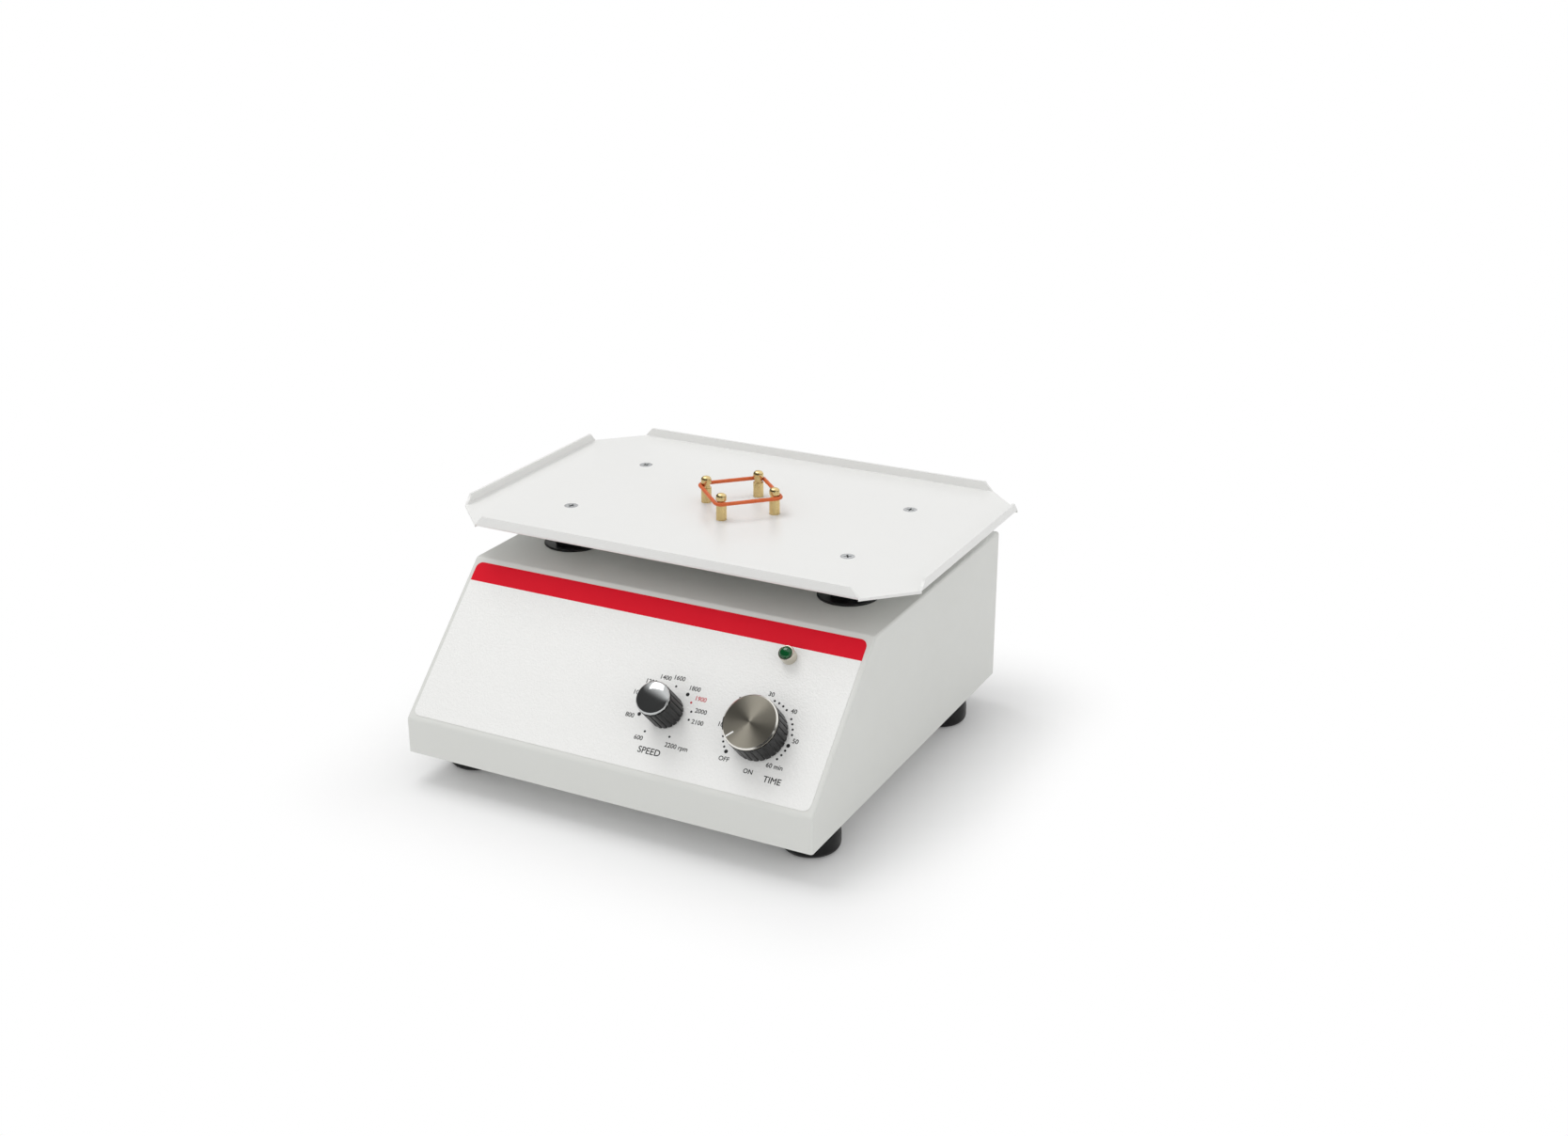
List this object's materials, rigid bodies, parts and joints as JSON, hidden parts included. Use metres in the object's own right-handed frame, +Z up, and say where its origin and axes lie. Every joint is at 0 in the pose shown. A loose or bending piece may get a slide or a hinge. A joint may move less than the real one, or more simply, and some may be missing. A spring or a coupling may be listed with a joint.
{
  "type": "microplate shaker",
  "caption": "Bench orbital shaker: flat lipped tray with posts and an elastic cord to hold microplates, on a sloped-front casing with a speed dial, a timer dial and a pilot lamp.",
  "frame": {"origin": "centre of the footprint's bounding box, at the level the feet stand on", "axes": "+X to the right as seen from the control panel, along the tray's long side; +Y from the panel to the back; +Z up"},
  "size_m": [0.286, 0.25, 0.1476],
  "materials": {
    "powder_coat": "fine satin powder coat",
    "tray_enamel": "smooth satin enamel",
    "panel_film": "pebbled polyester film",
    "stripe_print": "printed film",
    "zinc_steel": "bright zinc plate",
    "black_rubber": "moulded, slightly glossy",
    "black_nylon": "moulded",
    "knob_plastic": "moulded, ribbed",
    "mirror_cap": "dark mirror",
    "spun_aluminium": "spun face, bright edge",
    "brass": "turned",
    "orange_elastic": "smooth silicone cord",
    "nickel": "satin nickel",
    "green_lens": "moulded lens",
    "motor_steel": "plated steel",
    "turned_steel": "turned",
    "bearing_steel": "ground",
    "cast_aluminium": "turned casting",
    "copper_winding": "varnished wire",
    "laminations": "stacked sheet",
    "circuit_board": "solder resist",
    "component_plastic": "moulded"
  },
  "bodies": {
    "casing": {"casing_shell": "powder_coat", "base_chassis": "powder_coat", "panel_overlay": "panel_film", "overlay_stripe": "stripe_print", "base_screws": "zinc_steel", "rear_screws": "zinc_steel", "rubber_feet": "black_rubber", "foot_screws": "zinc_steel", "power_inlet": "black_nylon", "inlet_pins": "nickel", "fuse_drawer": "black_nylon", "inlet_screws": "zinc_steel", "motor_can": "motor_steel", "motor_stator": "copper_winding", "motor_bridge": "motor_steel", "motor_screws": "zinc_steel", "bridge_screws": "zinc_steel", "leg_glands": "black_nylon", "gland_nuts": "black_nylon", "leg_buffers": "black_rubber", "buffer_screws": "zinc_steel", "speed_pot": "component_plastic", "speed_nut": "nickel", "timer_body": "component_plastic", "timer_nut": "nickel", "lamp_bezel": "nickel", "lamp_lens": "green_lens", "lamp_holder": "component_plastic", "lamp_nut": "nickel", "control_board": "circuit_board", "board_parts": "component_plastic", "board_spacers": "component_plastic", "board_screws": "zinc_steel", "transformer_core": "laminations", "transformer_coil": "copper_winding", "transformer_screws": "zinc_steel"},
    "rotor": {"motor_rotor": "laminations", "motor_shaft": "turned_steel", "crank_hub": "turned_steel", "hub_grub_screw": "zinc_steel", "counterweight": "turned_steel", "bearing_inner_ring": "bearing_steel", "bearing_balls": "bearing_steel", "crank_clip": "turned_steel"},
    "tray": {"bearing_outer_ring": "bearing_steel", "bearing_circlip": "turned_steel", "bearing_housing": "cast_aluminium", "shaker_tray": "tray_enamel", "tray_legs": "turned_steel", "tray_screws": "zinc_steel", "plate_posts": "brass", "post_screws": "zinc_steel", "elastic_band": "orange_elastic"},
    "speed_dial": {"speed_spindle": "turned_steel", "speed_knob": "knob_plastic", "speed_knob_cap": "mirror_cap"},
    "timer_dial": {"timer_spindle": "turned_steel", "timer_knob": "knob_plastic", "timer_knob_disc": "spun_aluminium"}
  },
  "joints": [
    {"name": "motor_spin", "type": "hinge", "parent": "casing", "child": "rotor", "pos_m": [0, 0.03325, 0.09], "axis": [0, 0, 1], "continuous": true},
    {"name": "tray_orbit", "type": "hinge", "parent": "rotor", "child": "tray", "pos_m": [0, 0.032, 0.122], "axis": [0, 0, 1], "continuous": true},
    {"name": "speed_turn", "type": "hinge", "parent": "casing", "child": "speed_dial", "pos_m": [0.0267, -0.09869, 0.06417], "axis": [0, 0.7012, -0.713], "range_deg": [0, 300]},
    {"name": "timer_turn", "type": "hinge", "parent": "casing", "child": "timer_dial", "pos_m": [0.0822, -0.09869, 0.06417], "axis": [0, 0.7012, -0.713], "range_deg": [-50, 270]}
  ],
  "couplings": [
    {"joint": "tray_orbit", "follows": "motor_spin", "ratio": -1}
  ]
}
